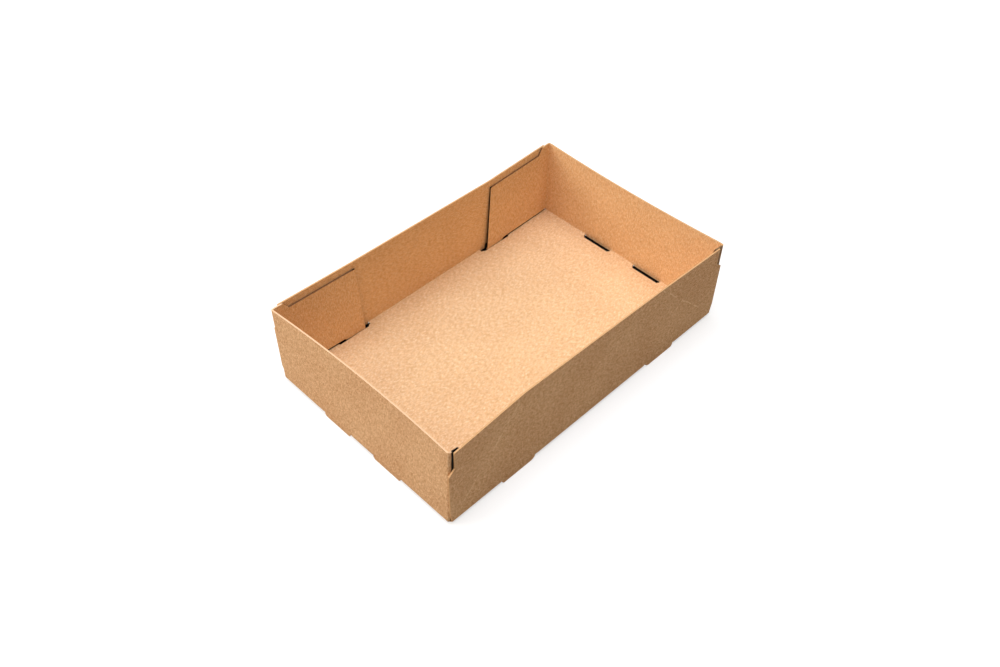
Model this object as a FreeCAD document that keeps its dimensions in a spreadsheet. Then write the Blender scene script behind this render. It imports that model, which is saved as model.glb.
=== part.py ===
import FreeCAD, Part
import os
import Sketcher

# A kraft card tray: one die-cut blank, folded up and glued at the corners.
# X runs along the tray, Y across it and Z up; the tips of the lips are at Z 0.
doc = FreeCAD.newDocument("cardboard_tray")
sheet = doc.addObject("Spreadsheet::Sheet", "Dimensions")

# Sizes in mm that can be set one by one.
sizes = [
    ("tray_length", 200, "over the end walls"),
    ("tray_width", 128.5, "over the side walls"),
    ("wall_height", 50.3, "underside of the base to the rim"),
    ("board", 0.8, "thickness of the board"),
    ("crease_radius", 0.5, "inside of each right-angled fold"),
    ("lip_drop", 1.4, "lip tips below the underside of the base"),
    ("end_lip_length", 20, "lip of an end wall, at its root"),
    ("end_lip_spacing", 38, "between the middles of an end wall's two lips"),
    ("end_lip_taper", 0.9, "each end of an end wall's lip"),
    ("side_lip_length", 22.5, "lip of a side wall, at its root"),
    ("side_lip_inset", 34.5, "end of the tray to a side wall's lip"),
    ("side_lip_step", 1, "outer end of a side wall's lip"),
    ("side_lip_shoulder", 2, "inner end of a side wall's lip"),
    ("slot_clear", 1, "waste cut from a slot beyond its lip's reach"),
    ("flap_length", 53, "end of the tray to a flap's free edge, at its foot"),
    ("flap_end_slant", 2, "how far a flap's free edge leans back"),
    ("flap_drop", 4.5, "rim to the top edge of a flap"),
    ("flap_shoulder", 7, "stretch by the fold where a flap is full height"),
    ("flap_slope", 3, "slant from the shoulder down to the top edge"),
    ("flap_lift", 1, "floor to the bottom edge of a flap"),
    ("tab_length", 14, "locking tab at a flap's free end"),
    ("tab_reach", 1.2, "locking tab's tip below the underside of the base"),
    ("corner_gap", 1, "front left flap's fold off the side wall, at the rim"),
    ("corner_lean", 2.4, "left end wall leaning in at the front corner, at the rim"),
    ("flap_spread", 1.5, "foot of a flap's free edge off the side wall"),
    ("glue_line", 0.2, "flap to side wall where they lie together"),
    ("glue_inset", 28, "end of the tray to the glued patch"),
    ("glue_length", 14, "glued patch along the tray"),
    ("glue_drop", 8, "rim to the glued patch"),
    ("glue_height", 9, "height of the glued patch"),
    ("side_wall_inset", 0.5, "end of the tray to a side wall's end"),
    ("notch_width", 4, "notch at each top corner of a side wall"),
    ("notch_depth", 11, "straight part of the notch"),
    ("notch_slant", 3, "slanting foot of the notch"),
    ("foot_taper", 1, "side wall's end drawn in at its foot"),
    ("foot_taper_height", 7, "height over which it is drawn in"),
    ("crease_reach", 51, "end of the tray to the top of a diagonal crease"),
    ("front_push_left", 2.9, "rim of the front wall pressed in, left crease"),
    ("front_push_right", 1.5, "rim of the front wall pressed in, right crease"),
    ("back_push_left", 1.3, "rim of the back wall pressed in, left crease"),
    ("back_push_right", 2.2, "rim of the back wall pressed in, right crease"),
    ("left_bow", 2.1, "rim of the left end wall bowed in at its middle"),
    ("right_bow", 1.9, "rim of the right end wall bowed in at its middle"),
]

# Places that follow from the sizes, each as a distance from the middle or from Z 0.
places = [
    ("end_out", "tray_length / 2"),
    ("end_in", "end_out - board"),
    ("side_out", "tray_width / 2"),
    ("side_in", "side_out - board"),
    ("fold_out", "crease_radius + board"),
    ("base_end", "end_out - fold_out"),
    ("base_side", "side_out - fold_out"),
    ("underside", "lip_drop"),
    ("floor", "underside + board"),
    ("fold_top", "underside + fold_out"),
    ("rim", "underside + wall_height"),
    ("wall_rise", "rim - fold_top"),
    ("ground", "0"),
    # A lip is cut out of the base: it reaches as far in from the fold as it hangs down from it.
    ("slot_depth", "fold_out + lip_drop + slot_clear - (crease_radius + board / 2) * pi / 2"),
    ("side_slot_edge", "base_side - slot_depth"),
    ("end_slot_edge", "base_end - slot_depth"),
    ("beyond_side", "side_out + 1"),
    ("beyond_end", "end_out + 1"),
    ("side_lip_far", "end_out - side_lip_inset"),
    ("side_lip_near", "side_lip_far - side_lip_length"),
    ("side_tip_far", "side_lip_far - side_lip_step"),
    ("side_tip_near", "side_lip_near + side_lip_shoulder"),
    ("end_lip_far", "(end_lip_spacing + end_lip_length) / 2"),
    ("end_lip_near", "(end_lip_spacing - end_lip_length) / 2"),
    ("end_tip_far", "end_lip_far - end_lip_taper"),
    ("end_tip_near", "end_lip_near + end_lip_taper"),
    ("crease_foot", "base_end"),
    ("crease_top", "end_out - crease_reach"),
    ("wall_end", "end_out - side_wall_inset"),
    ("notch_in", "wall_end - notch_width"),
    ("notch_foot", "rim - notch_depth"),
    ("notch_low", "notch_foot - notch_slant"),
    ("over_rim", "rim + 1"),
    ("taper_in", "wall_end - foot_taper"),
    ("taper_top", "fold_top + foot_taper_height"),
    ("under_fold", "fold_top - 1"),
    ("flap_side", "side_in - glue_line"),
    ("flap_foot", "end_out - flap_length"),
    ("flap_head", "flap_foot + flap_end_slant"),
    ("flap_past", "flap_foot - 2"),
    ("flap_spread_out", "flap_side - flap_spread"),
    ("flap_spread_in", "flap_spread_out - board"),
    ("bend_side", "flap_side"),
    ("bend_side_in", "bend_side - board"),
    ("bend_end", "bend_side - fold_out"),
    ("slack_side", "side_in - corner_gap"),
    ("slack_side_in", "slack_side - board"),
    ("slack_end", "slack_side - fold_out"),
    ("lean_out", "end_out - corner_lean"),
    ("lean_in", "end_in - corner_lean"),
    ("lean_base", "base_end - corner_lean"),
    ("shoulder", "end_out - flap_shoulder"),
    ("slope_foot", "shoulder - flap_slope"),
    ("flap_rim", "rim - flap_drop"),
    ("flap_under", "floor + flap_lift"),
    ("tab_far", "flap_foot + tab_length"),
    # A tab is cut out of the side wall's notch beside it, so its end has the notch's slant.
    ("tab_tip", "underside - tab_reach"),
    ("tab_rise", "fold_top - tab_tip"),
    ("tab_tip_far", "tab_far - notch_slant"),
    ("tab_past", "tab_far + 1"),
    ("under_tab", "tab_tip - 1"),
    ("glue_far", "end_out - glue_inset"),
    ("glue_near", "glue_far - glue_length"),
    ("glue_foot", "rim - glue_drop - glue_height"),
    ("cut_across", "tray_width + 10"),
    ("base_run", "2 * base_end"),
    ("base_span", "2 * base_side"),
    ("left_chord", "sqrt((bend_end + slack_end) ^ 2 + corner_lean ^ 2) / 2"),
    ("left_bow_radius", "(left_chord ^ 2 + left_bow ^ 2) / (2 * left_bow)"),
    ("right_bow_radius", "(bend_end ^ 2 + right_bow ^ 2) / (2 * right_bow)"),
]

# At each corner the flap turns in with the pressed-in side wall and lies along it.
for wall in ("front", "back"):
    for side in ("left", "right"):
        push = wall + "_push_" + side
        spot = wall + "_" + side
        places += [
            (spot + "_rim_out", "side_out - " + push),
            (spot + "_rim_in", "side_in - " + push),
            (spot + "_touch_out", "flap_side - " + push + " * flap_shoulder / crease_reach"),
            (spot + "_touch_in", spot + "_touch_out - board"),
            (spot + "_flap_out", "flap_side - " + push),
            (spot + "_flap_in", spot + "_flap_out - board"),
            (spot + "_tab_out", "flap_spread_out + (" + spot + "_touch_out - flap_spread_out)"
             " * tab_length / (shoulder - flap_foot)"),
            (spot + "_tab_in", spot + "_tab_out - board"),
            (spot + "_glue_far_out", "side_out - board / 2 - " + push + " * glue_inset / crease_reach"),
            (spot + "_glue_far_in", spot + "_glue_far_out - board - 2 * glue_line"),
            (spot + "_glue_near_out",
             "side_out - board / 2 - " + push + " * (glue_inset + glue_length) / crease_reach"),
            (spot + "_glue_near_in", spot + "_glue_near_out - board - 2 * glue_line"),
        ]

row = 1
for name, number, note in sizes:
    sheet.set("A%d" % row, name)
    sheet.set("B%d" % row, str(number))
    sheet.set("C%d" % row, note)
    sheet.setAlias("B%d" % row, name)
    row += 1
for name, formula in places:
    sheet.set("A%d" % row, name)
    sheet.set("B%d" % row, "=" + formula)
    sheet.setAlias("B%d" % row, name)
    row += 1
doc.recompute()


def size(name):
    """A named size, with a minus sign before the name for the other side of the middle."""
    return -getattr(sheet, name[1:]) if name.startswith("-") else getattr(sheet, name)


def bound(name):
    return "-Dimensions." + name[1:] if name.startswith("-") else "Dimensions." + name


def addOutline(sketch, corners):
    """A closed outline through named corners.

    A corner is (across, up), or (across, up, radius, bulge) where an arc runs on from it to the
    next corner; bulge is 1 for an arc that turns left and -1 for one that turns right."""
    first = sketch.GeometryCount
    count = len(corners)
    points = [FreeCAD.Vector(size(c[0]), size(c[1]), 0) for c in corners]
    ends = []
    for i in range(count):
        here, there = points[i], points[(i + 1) % count]
        if len(corners[i]) == 2:
            sketch.addGeometry(Part.LineSegment(here, there))
            ends.append((1, 2))
        else:
            radius, bulge = size(corners[i][2]), corners[i][3]
            chord = there - here
            sagitta = radius - (radius ** 2 - chord.Length ** 2 / 4) ** 0.5
            right = FreeCAD.Vector(chord.y, -chord.x, 0).normalize()
            middle = (here + there) / 2 + right * sagitta * bulge
            if bulge > 0:
                sketch.addGeometry(Part.Arc(here, middle, there))
                ends.append((1, 2))
            else:
                sketch.addGeometry(Part.Arc(there, middle, here))
                ends.append((2, 1))
    for i in range(count):
        after = (i + 1) % count
        sketch.addConstraint(
            Sketcher.Constraint("Coincident", first + i, ends[i][1], first + after, ends[after][0]))
    for i in range(count):
        spots = [("DistanceX", corners[i][0], points[i].x), ("DistanceY", corners[i][1], points[i].y)]
        for kind, name, start in spots:
            index = sketch.addConstraint(
                Sketcher.Constraint(kind, -1, 1, first + i, ends[i][0], start))
            sketch.setExpression("Constraints[%d]" % index, bound(name))
        if len(corners[i]) == 4:
            index = sketch.addConstraint(
                Sketcher.Constraint("Radius", first + i, size(corners[i][2])))
            sketch.setExpression("Constraints[%d]" % index, bound(corners[i][2]))


def addPlan(name, height):
    """An empty sketch that lies level at a named height."""
    sketch = doc.addObject("Sketcher::SketchObject", name)
    sketch.Placement = FreeCAD.Placement(FreeCAD.Vector(0, 0, size(height)), FreeCAD.Rotation())
    sketch.setExpression("Placement.Base.z", bound(height))
    return sketch


def addFront(name):
    """An empty upright sketch seen from the front: X across and Z up."""
    sketch = doc.addObject("Sketcher::SketchObject", name)
    sketch.Placement = FreeCAD.Placement(
        FreeCAD.Vector(), FreeCAD.Rotation(FreeCAD.Vector(1, 0, 0), 90))
    return sketch


def addSide(name):
    """An empty upright sketch seen from the right: Y across and Z up."""
    sketch = doc.addObject("Sketcher::SketchObject", name)
    sketch.Placement = FreeCAD.Placement(FreeCAD.Vector(), FreeCAD.Rotation(90, 0, 90))
    return sketch


def extrude(name, sketch, direction, depth, midplane=False):
    solid = doc.addObject("Part::Extrusion", name)
    solid.Base = sketch
    solid.DirMode = "Custom"
    solid.Dir = direction
    solid.Solid = True
    solid.Symmetric = midplane
    solid.setExpression("LengthFwd", bound(depth))
    return solid


def loft(name, low, high):
    solid = doc.addObject("Part::Loft", name)
    solid.Sections = [low, high]
    solid.Solid = True
    solid.Ruled = True
    return solid


def cut(name, base, tool):
    solid = doc.addObject("Part::Cut", name)
    solid.Base = base
    solid.Tool = tool
    return solid


def originPlane(body, role):
    return [plane for plane in body.Origin.OriginFeatures if plane.Role == role][0]


# The base with its folds: quarter rings along all four edges, cut through by the slots.
base = doc.addObject("PartDesign::Body", "base_panel")
baseOutline = base.newObject("Sketcher::SketchObject", "base_outline")
baseOutline.AttachmentSupport = [(originPlane(base, "XY_Plane"), "")]
baseOutline.MapMode = "FlatFace"
baseOutline.setExpression("AttachmentOffset.Base.z", bound("underside"))
addOutline(baseOutline, [("-base_end", "-base_side"), ("base_end", "-base_side"),
                         ("base_end", "base_side"), ("-base_end", "base_side")])
basePad = base.newObject("PartDesign::Pad", "base_plate")
basePad.Profile = baseOutline
basePad.setExpression("Length", bound("board"))
doc.recompute()

sideFolds = base.newObject("Sketcher::SketchObject", "side_fold_section")
sideFolds.AttachmentSupport = [(originPlane(base, "YZ_Plane"), "")]
sideFolds.MapMode = "FlatFace"
addOutline(sideFolds, [("-base_side", "floor", "crease_radius", -1), ("-side_in", "fold_top"),
                       ("-side_out", "fold_top", "fold_out", 1), ("-base_side", "underside")])
addOutline(sideFolds, [("base_side", "underside", "fold_out", 1), ("side_out", "fold_top"),
                       ("side_in", "fold_top", "crease_radius", -1), ("base_side", "floor")])
sideFoldPad = base.newObject("PartDesign::Pad", "side_folds")
sideFoldPad.Profile = sideFolds
sideFoldPad.Midplane = True
sideFoldPad.setExpression("Length", bound("base_run"))
doc.recompute()

endFolds = base.newObject("Sketcher::SketchObject", "end_fold_section")
endFolds.AttachmentSupport = [(originPlane(base, "XZ_Plane"), "")]
endFolds.MapMode = "FlatFace"
addOutline(endFolds, [("-base_end", "floor", "crease_radius", -1), ("-end_in", "fold_top"),
                      ("-end_out", "fold_top", "fold_out", 1), ("-base_end", "underside")])
addOutline(endFolds, [("base_end", "underside", "fold_out", 1), ("end_out", "fold_top"),
                      ("end_in", "fold_top", "crease_radius", -1), ("base_end", "floor")])
endFoldPad = base.newObject("PartDesign::Pad", "end_folds")
endFoldPad.Profile = endFolds
endFoldPad.Midplane = True
endFoldPad.setExpression("Length", bound("base_span"))
doc.recompute()

slotPlan = base.newObject("Sketcher::SketchObject", "slot_plan")
slotPlan.AttachmentSupport = [(originPlane(base, "XY_Plane"), "")]
slotPlan.MapMode = "FlatFace"
for sx in ("", "-"):
    for sy in ("", "-"):
        addOutline(slotPlan, [
            (sx + "side_lip_near", sy + "beyond_side"), (sx + "side_lip_near", sy + "base_side"),
            (sx + "side_tip_near", sy + "side_slot_edge"), (sx + "side_tip_far", sy + "side_slot_edge"),
            (sx + "side_lip_far", sy + "base_side"), (sx + "side_lip_far", sy + "beyond_side")])
        addOutline(slotPlan, [
            (sx + "beyond_end", sy + "end_lip_near"), (sx + "base_end", sy + "end_lip_near"),
            (sx + "end_slot_edge", sy + "end_tip_near"), (sx + "end_slot_edge", sy + "end_tip_far"),
            (sx + "base_end", sy + "end_lip_far"), (sx + "beyond_end", sy + "end_lip_far")])
slots = base.newObject("PartDesign::Pocket", "slots")
slots.Profile = slotPlan
slots.Type = "ThroughAll"
slots.Midplane = True
base.Tip = slots
doc.recompute()

# Side walls: a straight foot and a rim that is pressed in, with a crease up from each bottom corner.
wallEnds = addFront("side_wall_ends")
for sx in ("", "-"):
    addOutline(wallEnds, [
        (sx + "beyond_end", "over_rim"), (sx + "notch_in", "over_rim"), (sx + "notch_in", "notch_foot"),
        (sx + "wall_end", "notch_low"), (sx + "beyond_end", "notch_low")])
    addOutline(wallEnds, [
        (sx + "beyond_end", "taper_top"), (sx + "wall_end", "taper_top"), (sx + "taper_in", "fold_top"),
        (sx + "taper_in", "under_fold"), (sx + "beyond_end", "under_fold")])
wallEndCut = extrude("side_wall_end_cut", wallEnds, FreeCAD.Vector(0, 1, 0), "cut_across", True)

sideWalls = []
for wall, sy in (("front", "-"), ("back", "")):
    foot = addPlan(wall + "_foot", "fold_top")
    addOutline(foot, [
        ("-wall_end", sy + "side_out"), ("-crease_foot", sy + "side_out"),
        ("crease_foot", sy + "side_out"), ("wall_end", sy + "side_out"),
        ("wall_end", sy + "side_in"), ("crease_foot", sy + "side_in"),
        ("-crease_foot", sy + "side_in"), ("-wall_end", sy + "side_in")])
    top = addPlan(wall + "_rim", "rim")
    addOutline(top, [
        ("-wall_end", sy + "side_out"), ("-crease_top", sy + wall + "_left_rim_out"),
        ("crease_top", sy + wall + "_right_rim_out"), ("wall_end", sy + "side_out"),
        ("wall_end", sy + "side_in"), ("crease_top", sy + wall + "_right_rim_in"),
        ("-crease_top", sy + wall + "_left_rim_in"), ("-wall_end", sy + "side_in")])
    plate = loft(wall + "_plate", foot, top)
    sideWalls.append(cut(wall + "_wall", plate, wallEndCut))

# End walls, each in one strip with the two flaps that turn in along the side walls.
flapEdges = addFront("flap_edges")
for sx in ("", "-"):
    addOutline(flapEdges, [
        (sx + "shoulder", "over_rim"), (sx + "shoulder", "rim"), (sx + "slope_foot", "flap_rim"),
        (sx + "flap_past", "flap_rim"), (sx + "flap_past", "over_rim")])
    addOutline(flapEdges, [
        (sx + "base_end", "flap_under"), (sx + "base_end", "under_fold"),
        (sx + "tab_past", "under_fold"), (sx + "tab_past", "flap_under")])
tabEnds = addFront("tab_ends")
for sx in ("", "-"):
    addOutline(tabEnds, [
        (sx + "tab_past", "flap_under"), (sx + "tab_far", "flap_under"), (sx + "tab_tip_far", "tab_tip"),
        (sx + "tab_tip_far", "under_tab"), (sx + "tab_past", "under_tab")])
flapCut = extrude("flap_edge_cut", flapEdges, FreeCAD.Vector(0, 1, 0), "cut_across", True)
tabEndCut = extrude("tab_end_cut", tabEnds, FreeCAD.Vector(0, 1, 0), "cut_across", True)

endStrips = []
for side, sx, turn in (("left", "-", -1), ("right", "", 1)):
    strips = []
    for level, height in (("foot", "fold_top"), ("head", "rim")):
        sketch = addPlan(side + "_strip_" + level, height)
        outs, ins = [], []
        for wall, sy in (("front", "-"), ("back", "")):
            spot = sy + wall + "_" + side
            edge = ("flap_foot", sy + "flap_spread_out", sy + "flap_spread_in")
            if level == "head":
                edge = ("flap_head", spot + "_flap_out", spot + "_flap_in")
            bend, baseX, outX, inX = sy + "bend", sx + "base_end", sx + "end_out", sx + "end_in"
            if (level, wall, side) == ("head", "front", "left"):
                bend, baseX, outX, inX = sy + "slack", sx + "lean_base", sx + "lean_out", sx + "lean_in"
            outs.append([(sx + edge[0], edge[1]), (sx + "shoulder", spot + "_touch_out"),
                         (baseX, bend + "_side"), (outX, bend + "_end")])
            ins.append([(sx + edge[0], edge[2]), (sx + "shoulder", spot + "_touch_in"),
                        (baseX, bend + "_side_in"), (inX, bend + "_end")])
        bow = (side + "_bow_radius", -turn) if level == "head" else ()
        back = (side + "_bow_radius", turn) if level == "head" else ()
        path = outs[0][:2]
        path += [outs[0][2] + ("fold_out", turn), outs[0][3] + bow]
        path += [outs[1][3] + ("fold_out", turn), outs[1][2], outs[1][1], outs[1][0]]
        path += ins[1][:2]
        path += [ins[1][2] + ("crease_radius", -turn), ins[1][3] + back]
        path += [ins[0][3] + ("crease_radius", -turn), ins[0][2], ins[0][1], ins[0][0]]
        addOutline(sketch, path)
        strips.append(sketch)
    strip = loft(side + "_strip", strips[0], strips[1])
    trimmed = cut(side + "_trimmed", strip, flapCut)
    endStrips.append(cut(side + "_wall", trimmed, tabEndCut))

# Lips, left standing in the walls when the walls were folded up.
sideLips = addFront("side_lip_outline")
for sx in ("", "-"):
    addOutline(sideLips, [
        (sx + "side_lip_near", "fold_top"), (sx + "side_lip_near", "underside"),
        (sx + "side_tip_near", "ground"), (sx + "side_tip_far", "ground"),
        (sx + "side_lip_far", "underside"), (sx + "side_lip_far", "fold_top")])
endLips = addSide("end_lip_outline")
for sy in ("", "-"):
    addOutline(endLips, [
        (sy + "end_lip_near", "fold_top"), (sy + "end_lip_near", "underside"),
        (sy + "end_tip_near", "ground"), (sy + "end_tip_far", "ground"),
        (sy + "end_lip_far", "underside"), (sy + "end_lip_far", "fold_top")])
lips = []
for wall, sign in (("front", "-"), ("back", "")):
    lip = extrude(wall + "_lips", sideLips, FreeCAD.Vector(0, 1, 0), "board")
    lip.setExpression("Placement.Base.y", bound("-side_out" if sign else "side_in"))
    lips.append(lip)
for side, sign in (("left", "-"), ("right", "")):
    lip = extrude(side + "_lips", endLips, FreeCAD.Vector(1, 0, 0), "board")
    lip.setExpression("Placement.Base.x", bound("-end_out" if sign else "end_in"))
    lips.append(lip)

# Tabs that lock the flaps' free ends into the base's slots, and the glued patches above them.
tabPlan = addPlan("tab_plan", "tab_tip")
gluePlan = addPlan("glue_plan", "glue_foot")
for wall, sy in (("front", "-"), ("back", "")):
    for side, sx in (("left", "-"), ("right", "")):
        spot = sy + wall + "_" + side
        addOutline(tabPlan, [
            (sx + "flap_foot", sy + "flap_spread_out"), (sx + "tab_far", spot + "_tab_out"),
            (sx + "tab_far", spot + "_tab_in"), (sx + "flap_foot", sy + "flap_spread_in")])
        addOutline(gluePlan, [
            (sx + "glue_far", spot + "_glue_far_out"), (sx + "glue_near", spot + "_glue_near_out"),
            (sx + "glue_near", spot + "_glue_near_in"), (sx + "glue_far", spot + "_glue_far_in")])
tabBlanks = extrude("tab_blanks", tabPlan, FreeCAD.Vector(0, 0, 1), "tab_rise")
tabs = cut("tabs", tabBlanks, tabEndCut)
glue = extrude("glued_patches", gluePlan, FreeCAD.Vector(0, 0, 1), "glue_height")

tray = doc.addObject("Part::MultiFuse", "tray")
tray.Label = "tray"
tray.Shapes = [base] + sideWalls + endStrips + lips + [tabs, glue]
tray.Refine = True
doc.recompute()

for item in doc.Objects:
    if "Invalid" in item.State or "Error" in item.State:
        raise RuntimeError(item.Name + " did not rebuild")
if tray.Shape.isNull() or not tray.Shape.isValid() or len(tray.Shape.Solids) != 1:
    raise RuntimeError("the tray is not one valid solid")

os.makedirs("parts", exist_ok=True)
tray.Shape.exportStep("parts/tray.step")
box = tray.Shape.BoundBox
print("tray", round(box.XLength, 3), round(box.YLength, 3), round(box.ZLength, 3))
print("volume", round(tray.Shape.Volume, 1), "faces", len(tray.Shape.Faces))
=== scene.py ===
import math
import bpy
import numpy as np
from mathutils import Matrix, Vector
from mathutils.geometry import delaunay_2d_cdt


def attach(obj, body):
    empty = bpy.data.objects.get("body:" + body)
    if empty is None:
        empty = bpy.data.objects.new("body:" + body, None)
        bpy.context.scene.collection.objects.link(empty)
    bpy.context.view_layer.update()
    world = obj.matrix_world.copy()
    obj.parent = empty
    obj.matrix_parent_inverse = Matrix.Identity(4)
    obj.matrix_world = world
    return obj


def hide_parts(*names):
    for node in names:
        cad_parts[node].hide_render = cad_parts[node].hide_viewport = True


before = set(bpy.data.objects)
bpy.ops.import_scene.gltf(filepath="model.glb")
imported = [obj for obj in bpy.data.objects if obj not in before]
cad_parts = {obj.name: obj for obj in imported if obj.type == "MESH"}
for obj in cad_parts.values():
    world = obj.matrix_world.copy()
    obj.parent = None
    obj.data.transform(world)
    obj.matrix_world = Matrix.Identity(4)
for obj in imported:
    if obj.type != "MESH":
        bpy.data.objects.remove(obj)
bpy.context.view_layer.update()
mm = 0.001


# One sheet of board. Lengths in mm: flat ones on the blank, others on the folded tray.
tray = {
    "length": 200, "width": 128.5, "wall": 50.3, "board": 0.8, "crease": 0.5, "lipDrop": 1.4,
    "flapLength": 53, "flapSlant": 2, "flapDrop": 4.5, "flapShoulder": 7, "flapSlope": 3, "flapLift": 1,
    "tabLength": 14, "tabReach": 1.2, "flapSpread": 1.5, "glueLine": 0.2,
    "cornerGap": 1,                     # front left corner's rim: the flap off the side wall
    "cornerLean": 2.4,                  # and the end wall leaning in
    "cornerCrease": 0.2,                # inside radius of the upright folds
    "wallInset": 0.5, "notchWidth": 4, "notchDepth": 11, "notchSlant": 3,
    "footTaper": 1, "footTaperHeight": 7,
    "creaseReach": 51,
    "push": {"frontLeft": 2.9, "frontRight": 1.5, "backLeft": 1.3, "backRight": 2.2},
    "bow": {"left": 2.1, "right": 1.9},
    "sideLip": (43, 65.5, 45, 64.5),    # near and far end at the root, then at the tip
    "endLip": (9, 29, 9.9, 28.1),
    "kerf": 0.12, "slotClear": 1,       # width of the cut round a lip, and at its tip
    "cell": 2.4,                        # spacing of the grid
    "edgeCell": 1.6, "edgeClear": 0.28,         # spacing along the cut edges, and the grid's distance to them
    "bead": 0.07,                       # height of the ridge that creasing raises inside a fold
}


def derive(t):
    t = dict(t)
    t["endOut"], t["sideOut"] = t["length"] / 2, t["width"] / 2
    t["half"] = t["board"] / 2
    t["foldOut"] = t["crease"] + t["board"]
    t["neutral"] = t["crease"] + t["half"]          # radius of the sheet's middle in a fold
    t["arc"] = t["neutral"] * math.pi / 2           # flat width of a fold
    t["baseEnd"], t["baseSide"] = t["endOut"] - t["foldOut"], t["sideOut"] - t["foldOut"]
    t["foldTop"] = t["lipDrop"] + t["foldOut"]
    t["rise"] = t["lipDrop"] + t["wall"] - t["foldTop"]
    t["wallU"], t["wallV"] = t["baseEnd"] + t["arc"], t["baseSide"] + t["arc"]
    t["rimU"], t["rimV"] = t["wallU"] + t["rise"], t["wallV"] + t["rise"]
    t["tight"] = t["cornerCrease"] + t["half"]      # the same for an upright fold
    t["tightArc"] = t["tight"] * math.pi / 2
    t["bendV"] = t["sideOut"] - t["board"] - t["glueLine"] - t["half"] - t["tight"]
    t["flapV"] = t["bendV"] + t["tightArc"]
    t["flapFace"] = t["bendV"] + t["tight"] - t["half"]         # a flap's inner face at the corner
    t["flapStart"] = t["flapV"] - t["half"] - t["tight"]        # the end wall's outer face, on the blank
    t["wallEnd"] = t["endOut"] - t["wallInset"]
    t["lipReach"] = t["foldOut"] + t["lipDrop"] - t["arc"]
    t["flapUnder"] = t["wallU"] + t["lipDrop"] + t["board"] + t["flapLift"] - t["foldTop"]
    return t


t = derive(tray)


def smoothMin(a, b, soft):
    blend = np.clip(0.5 + 0.5 * (b - a) / soft, 0, 1)
    return b + (a - b) * blend - soft * blend * (1 - blend)


def pushOf(x, back, share):
    # How far a side wall's rim leans in: it grows up the wall and away from the corners, whichever is
    # less, so the two meet on a crease that runs up from each bottom corner.
    p = t["push"]
    left = np.where(back, p["backLeft"], p["frontLeft"])
    right = np.where(back, p["backRight"], p["frontRight"])
    top = t["endOut"] - t["creaseReach"]
    amount = left + (right - left) * np.clip((x + top) / (2 * top), 0, 1)
    near = (t["endOut"] - np.abs(x)) / t["creaseReach"]
    return amount * np.maximum(smoothMin(share, near, 0.045), 0)


def quarterFold(s, start, low):
    # A quarter turn from level to upright, then straight on.
    turn = np.clip(s, 0, t["arc"]) / t["neutral"]
    out = start + np.minimum(s, 0) + t["neutral"] * np.sin(turn)
    up = low + t["neutral"] * (1 - np.cos(turn)) + np.maximum(s - t["arc"], 0)
    return out, up


def foldBase(u, v):
    return np.stack([u, v, np.full_like(u, t["lipDrop"] + t["half"])], -1)


def foldSide(u, v):
    sign = np.where(v < 0, -1.0, 1.0)
    y, z = quarterFold(np.abs(v) - t["baseSide"], t["baseSide"], t["lipDrop"] + t["half"])
    share = np.clip((z - t["foldTop"]) / t["rise"], 0, 1)
    y = y - pushOf(u, v > 0, share)
    return np.stack([u, sign * y, z], -1)


def foldSideLip(u, v):
    sign = np.where(v < 0, -1.0, 1.0)
    z = t["foldTop"] - (t["wallV"] - np.abs(v))
    return np.stack([u, sign * (t["sideOut"] - t["half"]) + 0 * u, z], -1)


def foldEndLip(u, v):
    sign = np.where(u < 0, -1.0, 1.0)
    z = t["foldTop"] - (t["wallU"] - np.abs(u))
    return np.stack([sign * (t["endOut"] - t["half"]) + 0 * u, v, z], -1)


def foldEnd(u, v):
    # The end wall bows in as a parabola that grows up the wall, and leans in towards the front left
    # corner; past the bend the flap turns in along the side wall, meets it at the shoulder and then
    # stands off it a little more at its foot.
    signU, signV = np.where(u < 0, -1.0, 1.0), np.where(v < 0, -1.0, 1.0)
    x, z = quarterFold(np.abs(u) - t["baseEnd"], t["baseEnd"], t["lipDrop"] + t["half"])
    share = np.clip((z - t["foldTop"]) / t["rise"], 0, 1)
    along = np.abs(v)
    slack = np.where((u < 0) & (v < 0), (t["cornerGap"] - t["glueLine"]) * share, 0)
    bend = t["bendV"] - slack
    lean = np.where(u < 0, t["cornerLean"], 0) * share
    bow = np.where(u < 0, t["bow"]["left"], t["bow"]["right"]) * share
    x = x - bow * np.maximum(1 - (np.minimum(along, bend) / bend) ** 2, 0)
    x = x - lean * np.clip((t["bendV"] - v) / (2 * t["bendV"]), 0, 1)
    turned = (along > bend) & (np.abs(u) > t["wallU"] - 1e-6) | (along > t["baseSide"] + 1e-6)
    turn = np.where(turned, np.clip(along - bend, 0, t["tightArc"]) / t["tight"], 0)
    run = np.where(turned, np.maximum(along - bend - t["tightArc"], 0), 0)
    inner = t["sideOut"] - t["board"] - t["glueLine"] - t["half"]
    amount = pushOf(signU * (t["endOut"] - t["creaseReach"] * 0.9999), v > 0, np.ones_like(u))
    shoulder = t["flapShoulder"] - t["half"] - t["tight"]
    ease = np.clip(run / shoulder, 0, 1)
    flapX = t["endOut"] - t["half"] - t["tight"] * (1 - np.cos(turn)) - run
    flapX = flapX - np.where(v < 0, lean * (1 - ease), 0)
    bendY = bend + t["tight"] * np.sin(turn)
    touch = inner - amount * t["flapShoulder"] / t["creaseReach"]
    end = inner - (t["flapSpread"] * (1 - share) + amount * share)
    lie = np.clip((run - shoulder) / (t["flapLength"] - t["flapShoulder"]), 0, 1.1)
    bendEnd = bend + t["tight"]
    y = np.where(run < shoulder, bendY + (touch - bendEnd) * ease ** 1.4, touch + (end - touch) * lie)
    return np.stack([signU * np.where(turned, flapX, x), np.where(turned, signV * y, v), z], -1)


def mirrored(points, signU, signV):
    turned = [(signU * p[0], signV * p[1]) for p in points]
    return turned if signU * signV > 0 else turned[::-1]


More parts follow.
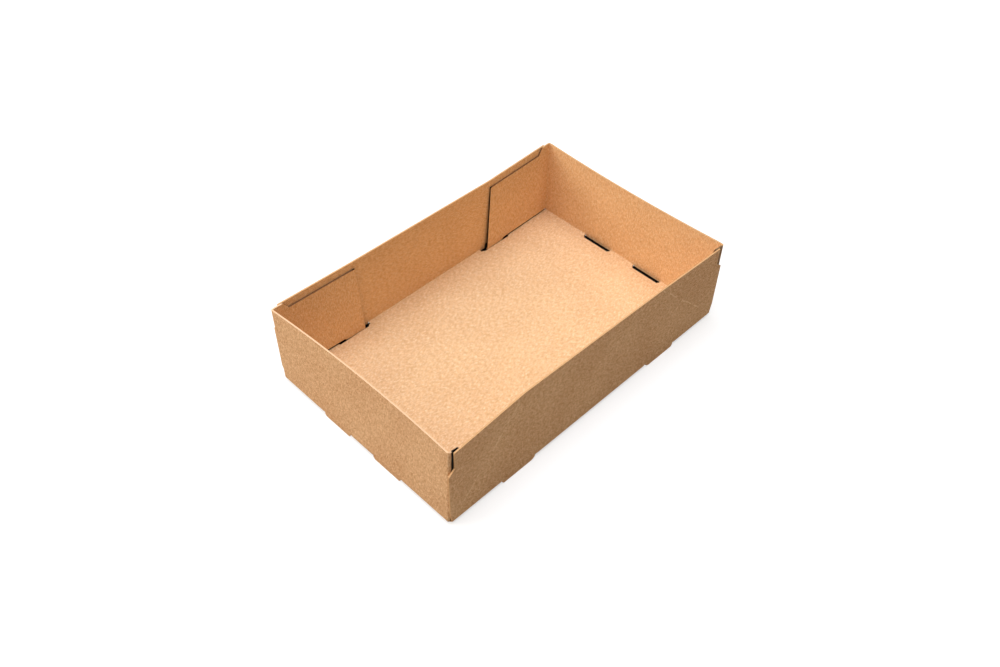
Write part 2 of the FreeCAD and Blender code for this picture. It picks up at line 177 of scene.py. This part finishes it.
def quarterOutline():
    # The blank's edge from the middle of the right end wall's rim round to the middle of the back rim.
    shoulder, foot = t["flapStart"] + t["flapShoulder"], t["flapStart"] + t["flapLength"]
    flapRim = t["rimU"] - t["flapDrop"]
    tabIn = foot - t["tabLength"]
    tabTip = t["wallU"] - t["foldTop"] + t["lipDrop"] - t["tabReach"]
    return [
        (t["rimU"], 0), (t["rimU"], shoulder), (flapRim, shoulder + t["flapSlope"]),
        (flapRim, foot - t["flapSlant"]), (t["flapUnder"], foot), (tabTip, foot),
        (tabTip, tabIn + t["notchSlant"] + t["kerf"]), (t["flapUnder"], tabIn),
        (t["flapUnder"], t["flapV"]), (t["wallU"], t["flapV"]), (t["wallU"], t["baseSide"]),
        (t["baseEnd"], t["baseSide"]), (t["baseEnd"], t["wallV"]),
        (t["wallEnd"] - t["footTaper"], t["wallV"]), (t["wallEnd"], t["wallV"] + t["footTaperHeight"]),
        (t["wallEnd"], t["rimV"] - t["notchDepth"] - t["notchSlant"]),
        (t["wallEnd"] - t["notchWidth"], t["rimV"] - t["notchDepth"]),
        (t["wallEnd"] - t["notchWidth"], t["rimV"]), (0, t["rimV"])]


def lipOutline(lip, root, bend, tip):
    return [(lip[0], root), (lip[0], bend), (lip[2], tip), (lip[3], tip), (lip[1], bend), (lip[1], root)]


def lipCut(lip, root, bend, tip):
    # The cut round three sides of a lip: the lip's own outline, and back along a wider one.
    kerf = t["kerf"]
    wide = (lip[0] - kerf, lip[1] + kerf, lip[2] - kerf, lip[3] + kerf)
    return lipOutline(lip, root, bend, tip) + lipOutline(wide, root, bend, tip - t["slotClear"])[::-1]


def inside(points, loop):
    hit = np.zeros(len(points), bool)
    x, y = points[:, 0], points[:, 1]
    for (ax, ay), (bx, by) in zip(loop, loop[1:] + loop[:1]):
        if ay != by:
            hit ^= ((ay > y) != (by > y)) & (x < (bx - ax) * (y - ay) / (by - ay) + ax)
    return hit


def distanceTo(points, loop):
    best = np.full(len(points), 1e9)
    for a, b in zip(loop, loop[1:] + loop[:1]):
        a, b = np.array(a), np.array(b)
        along = np.clip((points - a) @ (b - a) / max((b - a) @ (b - a), 1e-12), 0, 1)
        best = np.minimum(best, np.linalg.norm(points - a - along[:, None] * (b - a), axis=1))
    return best


def divided(loop, step):
    out = []
    for a, b in zip(loop, loop[1:] + loop[:1]):
        count = max(1, round(math.dist(a, b) / step))
        for i in range(count):
            out.append((a[0] + (b[0] - a[0]) * i / count, a[1] + (b[1] - a[1]) * i / count))
    return out


def gridLines(fold, end):
    # Even lines over the flat stretches, and close ones over the fold.
    past = fold + t["arc"]
    arcs = [fold + t["arc"] * i / 7 for i in range(8)]
    near = [fold - d for d in (0.25, 0.5, 0.8, 1.1, 1.5)] + [past + d for d in (0.5, 1.3)]
    clear = [s for s in np.arange(0, end, t["cell"]) if s < fold - 2 or s > past + 2]
    lines = sorted(arcs + near + clear)
    return np.array([-s for s in lines[::-1]] + lines)


def blankMesh():
    quarter = quarterOutline()
    outer = []
    for signU, signV in ((1, 1), (-1, 1), (-1, -1), (1, -1)):
        outer += mirrored(quarter, signU, signV)[:-1]
    side = (t["wallV"], t["baseSide"], t["baseSide"] - t["lipReach"])
    end = (t["wallU"], t["baseEnd"], t["baseEnd"] - t["lipReach"])
    cuts, lips = [], []
    for signU, signV in ((1, 1), (-1, 1), (-1, -1), (1, -1)):
        for kind, lip, lines in (("side", t["sideLip"], side), ("end", t["endLip"], end)):
            shapes = [make(lip, *lines) for make in (lipCut, lipOutline)]
            if kind == "end":
                shapes = [[(b, a) for a, b in shape] for shape in shapes]
            cut, outline = (mirrored(shape, signU, signV) for shape in shapes)
            cuts.append(cut)
            lips.append((kind, outline))
    loops = [divided(loop, t["edgeCell"]) for loop in [outer] + cuts]
    us = gridLines(t["baseEnd"], t["rimU"])
    vs = gridLines(t["baseSide"], t["rimV"])
    bends = gridLines(t["bendV"], t["rimV"])
    upright = t["endOut"] + 0.5         # from here on the lines follow the flaps' folds
    grid = np.array([(u, v) for u in us for v in vs if abs(u) < upright])
    ends = np.array([(u, v) for u in us for v in bends if abs(u) >= upright])
    grid = np.concatenate([grid, ends])
    keep = inside(grid, outer)
    for loop in [outer] + cuts:
        keep &= distanceTo(grid, loop) > t["edgeClear"]
    for c in cuts:
        keep &= ~inside(grid, c)
    grid = grid[keep]
    points, edges = [], []
    for loop in loops:
        first = len(points)
        points += loop
        edges += [(first + i, first + (i + 1) % len(loop)) for i in range(len(loop))]
    points += [tuple(p) for p in grid]
    found = delaunay_2d_cdt([Vector(p) for p in points], edges, [], 0, 1e-5, False)
    verts = np.array([tuple(v) for v in found[0]])
    tris = np.array([f for f in found[2]])
    middle = verts[tris].mean(1)
    keep = inside(middle, outer)
    for c in cuts:
        keep &= ~inside(middle, c)
    tris = tris[keep]
    used = np.unique(tris)
    renumber = np.full(len(verts), -1)
    renumber[used] = np.arange(len(used))
    return verts[used], renumber[tris], lips


def regionOf(flat, lips):
    # 0 base, 1 side wall, 2 end wall and flap, 3 side lip, 4 end lip.
    u, v = np.abs(flat[:, 0]), np.abs(flat[:, 1])
    region = np.zeros(len(flat), int)
    slant = np.clip(v - (t["rimV"] - t["notchDepth"] - t["notchSlant"]), 0, t["notchWidth"])
    limit = t["endOut"] - slant + t["kerf"] / 2
    region[v > t["baseSide"] + 1e-4] = 1
    region[(u > t["baseEnd"] + 1e-4) & (v <= t["baseSide"] + 1e-4)] = 2
    region[(v > t["baseSide"] + 1e-4) & (u > limit)] = 2
    for kind, loop in lips:
        within = inside(flat, loop) | (distanceTo(flat, loop) < 1e-3)
        region[within] = 3 if kind == "side" else 4
    return region


def folded(flat, region):
    out = np.zeros((len(flat), 3))
    for index, rule in enumerate((foldBase, foldSide, foldEnd, foldSideLip, foldEndLip)):
        pick = region == index
        if pick.any():
            out[pick] = rule(flat[pick, 0], flat[pick, 1])
    return out


def buildTray():
    flat, tris, lips = blankMesh()
    region = regionOf(flat, lips)
    middle = folded(flat, region)
    step = 0.02
    du = folded(flat + (step, 0), region) - folded(flat - (step, 0), region)
    dv = folded(flat + (0, step), region) - folded(flat - (0, step), region)
    up = np.cross(du, dv)
    up /= np.maximum(np.linalg.norm(up, axis=1), 1e-9)[:, None]      # towards the inside of the tray
    a, b, c = (flat[tris[:, i]] for i in range(3))
    turn = (b - a)[:, 0] * (c - a)[:, 1] - (b - a)[:, 1] * (c - a)[:, 0]
    tris = np.where(turn[:, None] > 0, tris, tris[:, ::-1])
    fromSide = np.abs(np.abs(flat[:, 1]) - t["baseSide"])
    fromFold = np.minimum(fromSide, np.abs(np.abs(flat[:, 0]) - t["baseEnd"]))
    bead = t["bead"] * np.exp(-((fromFold - 0.2) / 0.45) ** 2)       # a bell curve over the fold's foot
    bead = np.where((region < 3) & (fromFold < 1.5), bead, 0)
    inner = middle + up * (t["half"] + bead)[:, None]
    outer = middle - up * t["half"]
    count = len(flat)
    sides = {(tri[i], tri[(i + 1) % 3]): True for tri in tris for i in range(3)}
    border = [(i, j) for i, j in sides if (j, i) not in sides]
    verts = np.concatenate([inner, outer])
    reach = np.array([t["endOut"], t["sideOut"], t["lipDrop"] + t["wall"]])
    verts = np.clip(verts, [-reach[0], -reach[1], 0], reach)
    faces = [tuple(f) for f in tris] + [tuple(f[::-1] + count) for f in tris]
    rimFaces = [(j, i, i + count, j + count) for i, j in border]
    mesh = bpy.data.meshes.new("kraftTray")
    mesh.from_pydata((verts * mm).tolist(), [], [tuple(int(k) for k in f) for f in faces + rimFaces])
    mesh.validate()
    obj = bpy.data.objects.new("kraftTray", mesh)
    bpy.context.scene.collection.objects.link(obj)
    kinds = np.zeros(len(mesh.polygons), np.int32)
    kinds[len(tris):2 * len(tris)] = 1
    kinds[2 * len(tris):] = 2
    mesh.polygons.foreach_set("material_index", kinds)
    mesh.polygons.foreach_set("use_smooth", np.ones(len(kinds), bool))
    corner = np.zeros(len(mesh.loops), np.int32)
    mesh.loops.foreach_get("vertex_index", corner)
    uv = mesh.uv_layers.new(name="blank")
    spot = np.concatenate([flat, flat])[corner] * mm
    uv.data.foreach_set("uv", spot.ravel())
    mesh.set_sharp_from_angle(angle=math.radians(50))
    print("tray", len(verts), "corners", len(faces) + len(rimFaces), "faces", len(border), "edge faces")
    return obj


def srgb(code):
    values = [int(code[i:i + 2], 16) / 255 for i in (1, 3, 5)]
    return tuple(c / 12.92 if c <= 0.04045 else ((c + 0.055) / 1.055) ** 2.4 for c in values) + (1,)


def addNode(tree, kind, sets=None, **links):
    # One node: sets are its own properties, links are its inputs by name or number, a socket or a value.
    node = tree.nodes.new("ShaderNode" + kind)
    for key, value in (sets or {}).items():
        setattr(node, key, value)
    for key, value in links.items():
        numbered = key[0] == "i" and key[1:].isdigit()
        socket = node.inputs[int(key[1:]) if numbered else key]
        if isinstance(value, bpy.types.NodeSocket):
            tree.links.new(value, socket)
        else:
            socket.default_value = value
    return node


def calculate(tree, operation, *values):
    # One sum over two or more values or sockets.
    total = values[0]
    for value in values[1:] or (0.0,):
        total = addNode(tree, "Math", {"operation": operation}, i0=total, i1=value).outputs[0]
    return total


def ranged(tree, value, low, high, outLow=0.0, outHigh=1.0):
    return addNode(tree, "MapRange", None, i0=value, i1=low, i2=high, i3=outLow, i4=outHigh).outputs[0]


def noise(tree, vector, scale, detail=2.0, rough=0.5):
    sets = {"Scale": scale, "Detail": detail, "Roughness": rough}
    return addNode(tree, "TexNoise", None, Vector=vector, **sets).outputs[0]


def mixColour(tree, share, a, b):
    node = addNode(tree, "Mix", {"data_type": "RGBA"})
    for name, value in (("Factor_Float", share), ("A_Color", a), ("B_Color", b)):
        socket = [s for s in node.inputs if s.identifier == name][0]
        if isinstance(value, bpy.types.NodeSocket):
            tree.links.new(value, socket)
        else:
            socket.default_value = value
    return [s for s in node.outputs if s.identifier == "Result_Color"][0]


# Unbleached kraft: pale and dark fibres pressed flat, cloudy where they lie thicker, a few bark specks.
# The face inside the tray is the smoother, paler one. Lengths in mm, shares from 0 to 1.
kraft = {
    "inside": {"light": "#fcd4a3", "dark": "#cb996a", "fibre": "#ffe9c6", "speck": "#a87a4e",
               "fibreShare": 0.75, "grain": 0.7, "grainLow": 0.3, "offset": (0, 0, 0)},
    "outside": {"light": "#ffd5a5", "dark": "#b87849", "fibre": "#ffe2b8", "speck": "#7a5234",
                "fibreShare": 0.45, "grain": 0.85, "grainLow": 0.37, "offset": (3.1, 1.7, 0)},
    "cloud": 26, "mottle": 2.2, "cloudShare": 0.12, "mottleShare": 0.42, "grainShare": 0.46,
    "fibreLength": 2.6, "fibreWidth": 0.4,
    "fibreLies": ((12, 1.0), (-38, 0.8), (64, 0.7), (104, 0.75)),   # degrees, and share of the length
    "darkFibreShare": 0.7,
    "barkLie": 20, "barkLength": 1.4, "barkWidth": 0.6, "barkShare": 0.6,
    # Painted shade: the near black laid on faces that lie in cracks, the flaps' backs and the lips' inner
    # faces.
    "crackShade": "#120a05",                                              # where a face lies in a crack
    "roughness": 0.82, "gloss": 0.2, "bump": 0.03,
}
# The pale rim colour is a painted highlight on the left end wall's rim.
cutEdge = {"light": "#e6b98a", "dark": "#c99866", "grain": 0.35, "rimHighlight": "#ffdcbc", "rimHighlightShare": 0.5,
           # The flap colour is painted shade on the flaps' top edges past the shoulder.
           "flap": "#80573a", "roughness": 0.95, "gloss": 0.15, "bump": 0.03}
rubbed = {"colour": "#ffdcae", "share": 0.75, "sway": 1.6, "swayLength": 9, "halfWidth": 0.42, "core": 0.14,
          "patch": 5, "patchLow": 0.44, "patchHigh": 0.54}


def stretched(tree, vector, angle, length, width):
    # Coordinates in which a round blob is a fibre of that length and width, turned by that angle.
    return addNode(tree, "Mapping", None, Vector=vector, Rotation=(0, 0, math.radians(angle)),
                   Scale=(1000 / length, 1000 / width, 1)).outputs[0]


def fromMiddle(tree, flat):
    # Distances from the blank's two middle lines.
    split = addNode(tree, "SeparateXYZ", None, Vector=flat)
    return [calculate(tree, "ABSOLUTE", split.outputs[i]) for i in (0, 1)]


def creaseRub(tree, flat, outside):
    # Where a diagonal crease was bent the face is rubbed pale in a broken line: distance to the line
    # from the bottom corner to the rim on the blank, times a patchy strength along it. Inside the tray
    # only its top end is rubbed.
    start = (t["baseEnd"] * mm, t["wallV"] * mm)
    end = ((t["endOut"] - t["creaseReach"]) * mm, t["rimV"] * mm)
    span = math.dist(start, end)
    dx, dy = (end[0] - start[0]) / span, (end[1] - start[1]) / span
    u, v = fromMiddle(tree, flat)
    u, v = calculate(tree, "SUBTRACT", u, start[0]), calculate(tree, "SUBTRACT", v, start[1])
    off = calculate(tree, "ADD", calculate(tree, "MULTIPLY", u, -dy), calculate(tree, "MULTIPLY", v, dx))
    along = calculate(tree, "ADD", calculate(tree, "MULTIPLY", u, dx), calculate(tree, "MULTIPLY", v, dy))
    swaying = calculate(tree, "SUBTRACT", noise(tree, flat, 1000 / rubbed["swayLength"], 2), 0.5)
    off = calculate(tree, "ADD", off, calculate(tree, "MULTIPLY", swaying, rubbed["sway"] * mm))
    near = ranged(tree, calculate(tree, "ABSOLUTE", off), rubbed["halfWidth"] * mm, rubbed["core"] * mm)
    patchy = noise(tree, flat, 1000 / rubbed["patch"], 3, 0.75)
    patchy = ranged(tree, patchy, rubbed["patchLow"], rubbed["patchHigh"])
    first, last = (1.5 * mm, 5 * mm) if outside else (span - 4 * mm, span - 1 * mm)
    return calculate(tree, "MULTIPLY", near, patchy, ranged(tree, along, first, last))


def flapShare(tree, flat, start, full):
    # 1 on the corner flaps: past the end walls' fold in u, and from start to full in v.
    u, v = fromMiddle(tree, flat)
    beyond = ranged(tree, u, (t["wallU"] + 0.2) * mm, (t["wallU"] + 0.4) * mm)
    return calculate(tree, "MULTIPLY", beyond, ranged(tree, v, start * mm, full * mm))


def frontCorners(tree, flat):
    # 1 on the front left quarter of the blank, less on the front right one, 0 on the back half.
    split = addNode(tree, "SeparateXYZ", None, Vector=flat)
    side = ranged(tree, split.outputs[0], -1 * mm, 1 * mm, 1, 0.6)
    return calculate(tree, "MULTIPLY", calculate(tree, "LESS_THAN", split.outputs[1], 0), side)


def within(tree, value, low, high):
    # 1 between two lengths, 0 outside them.
    blur = 0.05
    rising = ranged(tree, value, (low - blur) * mm, low * mm)
    return calculate(tree, "MULTIPLY", rising, ranged(tree, value, (high + blur) * mm, high * mm))


def crackShadeShare(tree, flat):
    # Where painted shade goes on the inside face: 1 on the eight lips of the blank, and nearly 1 behind the
    # flaps' faces where the base turns up.
    u, v = fromMiddle(tree, flat)
    side = calculate(tree, "MULTIPLY", within(tree, u, *t["sideLip"][:2]),
                     within(tree, v, t["baseSide"] - t["lipReach"], t["baseSide"]))
    end = calculate(tree, "MULTIPLY", within(tree, v, *t["endLip"][:2]),
                    within(tree, u, t["baseEnd"] - t["lipReach"], t["baseEnd"]))
    slope = t["flapSpread"] / (t["flapLength"] - t["flapShoulder"])
    face = t["flapFace"] - slope * (t["endOut"] - t["flapShoulder"])
    behind = calculate(tree, "SUBTRACT", v, calculate(tree, "MULTIPLY", u, slope))
    under = calculate(tree, "MULTIPLY", within(tree, u, t["endOut"] - t["flapLength"], t["endOut"]),
                      within(tree, v, 0, t["wallV"] + 2),
                      ranged(tree, behind, (face - 0.2) * mm, (face + 0.2) * mm, 0, 0.9))
    return calculate(tree, "MAXIMUM", side, end, under)


def startMaterial(name):
    material = bpy.data.materials.new(name)
    material.use_nodes = True
    tree = material.node_tree
    return material, tree, addNode(tree, "UVMap", {"uv_map": "blank"}).outputs[0]


def finishMaterial(material, look, colour, height):
    tree = material.node_tree
    shader = tree.nodes["Principled BSDF"]
    shader.inputs["Roughness"].default_value = look["roughness"]
    shader.inputs["Specular IOR Level"].default_value = look["gloss"]
    bump = addNode(tree, "Bump", None, Height=height, Strength=0.5, Distance=look["bump"] * mm)
    tree.links.new(colour, shader.inputs["Base Color"])
    tree.links.new(bump.outputs[0], shader.inputs["Normal"])
    return material


def kraftMaterial(name, outside):
    k = kraft
    tone = k["outside" if outside else "inside"]
    material, tree, sheet = startMaterial(name)
    flat = addNode(tree, "Mapping", None, Vector=sheet, Location=tone["offset"]).outputs[0]
    cloud = noise(tree, flat, 1000 / k["cloud"], 2)
    mottle = noise(tree, flat, 1000 / k["mottle"], 3, 0.65)
    grain = noise(tree, flat, 1000 / tone["grain"], 2, 0.6)
    strands = []
    for angle, length in k["fibreLies"]:
        lie = stretched(tree, flat, angle, k["fibreLength"] * length, k["fibreWidth"])
        strands.append(noise(tree, lie, 1.0, 1))
    fibre, valley = calculate(tree, "MAXIMUM", *strands), calculate(tree, "MINIMUM", *strands)
    fields = ((cloud, 0.35, k["cloudShare"]), (mottle, 0.3, k["mottleShare"]),
              (grain, tone["grainLow"], k["grainShare"]))
    parts = [calculate(tree, "MULTIPLY", ranged(tree, field, low, 1 - low), share)
             for field, low, share in fields]
    colour = mixColour(tree, calculate(tree, "ADD", *parts), srgb(tone["dark"]), srgb(tone["light"]))
    paleFibre = ranged(tree, fibre, 0.6, 0.74, 0, tone["fibreShare"])
    colour = mixColour(tree, paleFibre, colour, srgb(tone["fibre"]))
    darkFibre = ranged(tree, valley, 0.38, 0.24, 0, k["darkFibreShare"])
    colour = mixColour(tree, darkFibre, colour, srgb(tone["dark"]))
    bark = stretched(tree, flat, k["barkLie"], k["barkLength"], k["barkWidth"])
    speck = ranged(tree, noise(tree, bark, 0.8, 2, 0.7), 0.74, 0.82, 0, k["barkShare"])
    colour = mixColour(tree, speck, colour, srgb(tone["speck"]))
    rub = calculate(tree, "MULTIPLY", creaseRub(tree, sheet, outside), rubbed["share"])
    colour = mixColour(tree, rub, colour, srgb(rubbed["colour"]))
    # Painted shade: the flaps' backs and the lips' inner faces lie in narrow cracks and are painted near
    # black.
    # The notches show only the crack at the front corners, and the flap's back at the back ones.
    if outside:
        crack = flapShare(tree, sheet, t["flapV"] - 0.1, t["flapV"] + 0.4)
        crack = calculate(tree, "MULTIPLY", crack, frontCorners(tree, sheet))
        dark = calculate(tree, "MAXIMUM", crack, flapShare(tree, sheet, t["flapV"] + 3.4, t["flapV"] + 3.9))
    else:
        dark = crackShadeShare(tree, sheet)
    colour = mixColour(tree, dark, colour, srgb(k["crackShade"]))
    height = calculate(tree, "ADD", calculate(tree, "MULTIPLY", fibre, 0.6),
                       calculate(tree, "MULTIPLY", grain, 0.4))
    return finishMaterial(material, k, colour, height)


def edgeMaterial():
    # A cut edge: the same fibres seen end on, so rougher. It carries a painted highlight along the left end
    # wall's rim, and painted shade where it lies close to a wall or in a crack.
    material, tree, flat = startMaterial("kraftCutEdge")
    place = addNode(tree, "TexCoord").outputs["Object"]
    grain = noise(tree, place, 1000 / cutEdge["grain"], 3, 0.6)
    colour = mixColour(tree, ranged(tree, grain, 0.3, 0.7), srgb(cutEdge["dark"]), srgb(cutEdge["light"]))
    across = addNode(tree, "SeparateXYZ", None, Vector=flat).outputs[0]
    # Painted highlight: the left end wall's rim edge is painted paler.
    rimHighlight = ranged(tree, across, (1 - t["rimU"]) * mm, (0.5 - t["rimU"]) * mm, 0, cutEdge["rimHighlightShare"])
    colour = mixColour(tree, rimHighlight, colour, srgb(cutEdge["rimHighlight"]))
    # Painted shade on the flaps' cut edges: darker past the shoulder, near black on the free edge.
    freeEdge = t["flapLength"] - t["flapSlant"] - 1
    for run, tone in ((t["flapShoulder"], cutEdge["flap"]), (freeEdge, kraft["crackShade"])):
        flapEdgeShade = flapShare(tree, flat, t["flapStart"] + run - 1, t["flapStart"] + run)
        colour = mixColour(tree, flapEdgeShade, colour, srgb(tone))
    # Painted shade, near black, on the flaps' cut edges at their feet and at the front corners.
    foot = calculate(tree, "ABSOLUTE", across)
    foot = calculate(tree, "LESS_THAN", foot, (t["flapUnder"] + 0.6) * mm)
    unlit = calculate(tree, "MULTIPLY", flapShare(tree, flat, t["flapV"] + 0.4, t["flapV"] + 0.8),
                      calculate(tree, "MAXIMUM", foot, frontCorners(tree, flat)))
    colour = mixColour(tree, unlit, colour, srgb(kraft["crackShade"]))
    return finishMaterial(material, cutEdge, colour, grain)


body = buildTray()
faces = (kraftMaterial("kraftInside", False), kraftMaterial("kraftOutside", True), edgeMaterial())
for material in faces:
    body.data.materials.append(material)
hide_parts("tray")
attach(body, "root")
print("kraft materials")

# Camera, turned round the tray: azimuth 0 looks along +Y. Lengths in mm; focal is in picture widths.
view = {"azimuth": -45.663, "elevation": 46.257, "roll": 1.034, "across": -2.237, "up": 6.36,
        "distance": 549.705, "focal": 1.006755}


def placeCamera():
    a, e, r = (math.radians(view[k]) for k in ("azimuth", "elevation", "roll"))
    back = Vector((math.sin(a) * math.cos(e), -math.cos(a) * math.cos(e), math.sin(e)))
    right = (-back).cross(Vector((0, 0, 1))).normalized()
    up = right.cross(-back)
    right, up = math.cos(r) * right + math.sin(r) * up, -math.sin(r) * right + math.cos(r) * up
    spot = right * view["across"] + up * view["up"] + back * view["distance"]
    camera = bpy.data.objects.new("camera", bpy.data.cameras.new("camera"))
    camera.data.sensor_width = 36
    camera.data.lens = 36 * view["focal"]
    camera.data.clip_start, camera.data.clip_end = 0.01, 20
    turn = Matrix((right, up, back)).transposed().to_4x4()
    camera.matrix_world = Matrix.Translation(spot * mm) @ turn
    bpy.context.scene.collection.objects.link(camera)
    bpy.context.scene.camera = camera


placeCamera()

# Studio: soft panels, each by the direction it shines from, its size and distance in metres.
lamps = [
    {"name": "overhead", "from": (-0.05, 0.05, 1), "size": 1.0, "distance": 1.2, "power": 15.6,
     "colour": "#e9f1ff"},
    {"name": "side", "from": (-0.8, 0.65, 0.6), "size": 0.55, "distance": 0.9, "power": 3.8,
     "colour": "#fff6e8"},
]
room = {"light": "#ffebbe", "strength": 0.295, "seen": "#ffffff"}


def addLamp(spec):
    light = bpy.data.lights.new(spec["name"], "AREA")
    light.shape = "SQUARE"
    light.size = spec["size"]
    light.energy = spec["power"]
    light.color = srgb(spec["colour"])[:3]
    lamp = bpy.data.objects.new(spec["name"], light)
    towards = Vector(spec["from"]).normalized()
    lamp.location = towards * spec["distance"]
    lamp.rotation_mode = "QUATERNION"
    lamp.rotation_quaternion = towards.to_track_quat("Z", "Y")
    bpy.context.scene.collection.objects.link(lamp)


for spec in lamps:
    addLamp(spec)


def addRoom():
    # The room throws its own soft light, and is seen as plain white.
    world = bpy.data.worlds.new("studio")
    bpy.context.scene.world = world
    world.use_nodes = True
    tree = world.node_tree
    tree.nodes.clear()
    camera = addNode(tree, "LightPath").outputs["Is Camera Ray"]
    lit = addNode(tree, "Background", None, Color=srgb(room["light"]), Strength=room["strength"])
    seen = addNode(tree, "Background", None, Color=srgb(room["seen"]), Strength=1.0)
    both = addNode(tree, "MixShader", None, i0=camera, i1=lit.outputs[0], i2=seen.outputs[0])
    tree.links.new(both.outputs[0], addNode(tree, "OutputWorld").inputs[0])


addRoom()

# A white table that keeps the tray's soft shadow, and on it near black sheets of painted shade under the
# slots. light is the grey that throws light back and seen the grey that is looked at. glow is the plain white
# added to that near the tray, so that only the middle of the shadow shows, and farGlow the same where the
# lamps fade.
table = {"reach": 3.0, "height": -0.02 * mm, "light": 0.45, "seen": 0.5, "glow": 0.62, "farGlow": 1.0}
# Painted shade: near black sheets under the slots, standing in for the shade under the tray.
slotShade = {"height": -0.01 * mm, "light": 0.01, "seen": 0.01, "glow": 0.0, "farGlow": 0.0,
        "inner": 4.6, "outer": {True: -0.25, False: 0.3},       # from the wall's face, at far and near walls
        "runOn": 1.7}                                           # past a far lip's end
fade = (0.3, 1.2)       # metres from the middle


def addStage(name, sheets, look):
    # Level oblongs of the stage, each x0, x1, y0, y1 in metres.
    mesh = bpy.data.meshes.new(name)
    corners = []
    for x0, x1, y0, y1 in sheets:
        corners += [(x0, y0, 0), (x1, y0, 0), (x1, y1, 0), (x0, y1, 0)]
    mesh.from_pydata(corners, [], [tuple(range(i, i + 4)) for i in range(0, len(corners), 4)])
    sheet = bpy.data.objects.new(name, mesh)
    sheet.location.z = look["height"]
    bpy.context.scene.collection.objects.link(sheet)
    material = bpy.data.materials.new(name)
    material.use_nodes = True
    tree = material.node_tree
    tree.nodes.clear()
    rays = addNode(tree, "LightPath")
    looks = [rays.outputs["Is " + kind + " Ray"] for kind in ("Camera", "Glossy", "Transmission")]
    plain = addNode(tree, "BsdfDiffuse", None, Color=(look["light"],) * 3 + (1,))
    shown = addNode(tree, "BsdfDiffuse", None, Color=(look["seen"],) * 3 + (1,))
    place = addNode(tree, "TexCoord").outputs["Object"]
    away = addNode(tree, "VectorMath", {"operation": "LENGTH"}, i0=place).outputs["Value"]
    glow = ranged(tree, away, *fade, look["glow"], look["farGlow"])
    lift = addNode(tree, "Emission", None, Color=(1, 1, 1, 1), Strength=glow)
    whole = addNode(tree, "AddShader", None, i0=shown.outputs[0], i1=lift.outputs[0])
    both = addNode(tree, "MixShader", None, i0=calculate(tree, "MAXIMUM", *looks),
                   i1=plain.outputs[0], i2=whole.outputs[0])
    tree.links.new(both.outputs[0], addNode(tree, "OutputMaterial").inputs[0])
    mesh.materials.append(material)


def slotShadeSheets():
    # What shows through the slots: a near black strip of painted shade under each, inside the lip. At the far
    # walls it runs on to where the camera looks, and at the near ones it keeps behind the lip's tip.
    cards = []
    for sign in (1, -1):
        far = sign > 0
        for along in (1, -1):
            for lip, out in ((t["sideLip"], t["sideOut"]), (t["endLip"], t["endOut"])):
                ends = sorted(along * end for end in (lip[:2] if far else lip[2:]))
                ends[1] += slotShade["runOn"] * far
                across = sorted((sign * (out - slotShade["inner"]), sign * (out - slotShade["outer"][far])))
                strip = [*ends, *across] if lip is t["sideLip"] else [*across, *ends]
                cards.append([c * mm for c in strip])
    return cards


addStage("whiteTable", [(-table["reach"], table["reach"]) * 2], table)
addStage("slotShadeCard", slotShadeSheets(), slotShade)
scene = bpy.context.scene
scene.view_settings.view_transform = "Standard"
print("studio")
